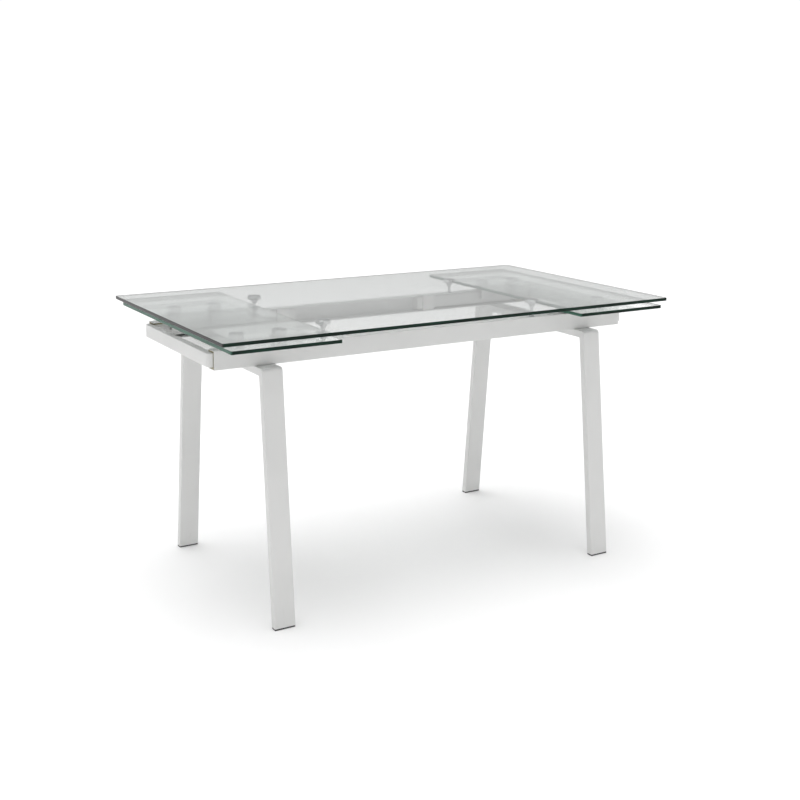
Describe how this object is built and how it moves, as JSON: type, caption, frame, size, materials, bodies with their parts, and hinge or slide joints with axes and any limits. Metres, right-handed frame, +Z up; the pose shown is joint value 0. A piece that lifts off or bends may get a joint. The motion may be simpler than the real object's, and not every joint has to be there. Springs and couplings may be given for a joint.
{
  "type": "extendable dining table",
  "caption": "Rectangular dining table with a clear glass top on chrome posts, a white steel frame with splayed flat legs, and glass leaves that slide out from under both ends.",
  "frame": {"origin": "on the floor, below the middle of the fixed top", "axes": "+Z up, +X along the table towards the right leaf, -Y towards the front side"},
  "size_m": [1.4, 0.8, 0.77],
  "materials": {
    "clear_glass": "polished tempered glass, green at the edges",
    "white_powder_coat": "satin white powder coat on steel",
    "chrome": "polished chrome",
    "olive_nylon": "olive-beige moulded nylon",
    "white_nylon": "natural white moulded nylon",
    "dark_plastic": "dark grey moulded plastic",
    "white_rubber": "off-white rubber",
    "clear_pad": "clear soft plastic",
    "zinc_steel": "zinc-plated steel"
  },
  "bodies": {
    "frame": {"back_rail": "white_powder_coat", "front_rail": "white_powder_coat", "left_back_foot": "dark_plastic", "left_back_leg": "white_powder_coat", "left_back_liner": "olive_nylon", "left_back_post": "chrome", "left_crossbar": "white_powder_coat", "left_front_foot": "dark_plastic", "left_front_leg": "white_powder_coat", "left_front_liner": "olive_nylon", "left_front_post": "chrome", "leg_bolts": "zinc_steel", "main_top_glass": "clear_glass", "post_pads": "clear_pad", "post_screws": "zinc_steel", "rest_buffers": "white_rubber", "right_back_foot": "dark_plastic", "right_back_leg": "white_powder_coat", "right_back_liner": "olive_nylon", "right_back_post": "chrome", "right_crossbar": "white_powder_coat", "right_front_foot": "dark_plastic", "right_front_leg": "white_powder_coat", "right_front_liner": "olive_nylon", "right_front_post": "chrome", "rivet_nuts": "zinc_steel"},
    "left_leaf": {"left_back_arm": "white_powder_coat", "left_back_brackets": "white_powder_coat", "left_back_inner_disc": "chrome", "left_back_outer_disc": "chrome", "left_back_shoe": "white_nylon", "left_disc_screws": "zinc_steel", "left_end_bar": "white_powder_coat", "left_front_arm": "white_powder_coat", "left_front_brackets": "white_powder_coat", "left_front_inner_disc": "chrome", "left_front_outer_disc": "chrome", "left_front_shoe": "white_nylon", "left_leaf_glass": "clear_glass", "left_leaf_pads": "clear_pad"},
    "right_leaf": {"right_back_arm": "white_powder_coat", "right_back_brackets": "white_powder_coat", "right_back_inner_disc": "chrome", "right_back_outer_disc": "chrome", "right_back_shoe": "white_nylon", "right_disc_screws": "zinc_steel", "right_end_bar": "white_powder_coat", "right_front_arm": "white_powder_coat", "right_front_brackets": "white_powder_coat", "right_front_inner_disc": "chrome", "right_front_outer_disc": "chrome", "right_front_shoe": "white_nylon", "right_leaf_glass": "clear_glass", "right_leaf_pads": "clear_pad"}
  },
  "joints": [
    {"name": "left_leaf_slide", "type": "slide", "parent": "frame", "child": "left_leaf", "axis": [-1, 0, 0], "range_m": [0, 0.3215]},
    {"name": "right_leaf_slide", "type": "slide", "parent": "frame", "child": "right_leaf", "axis": [1, 0, 0], "range_m": [0, 0.3215]}
  ]
}
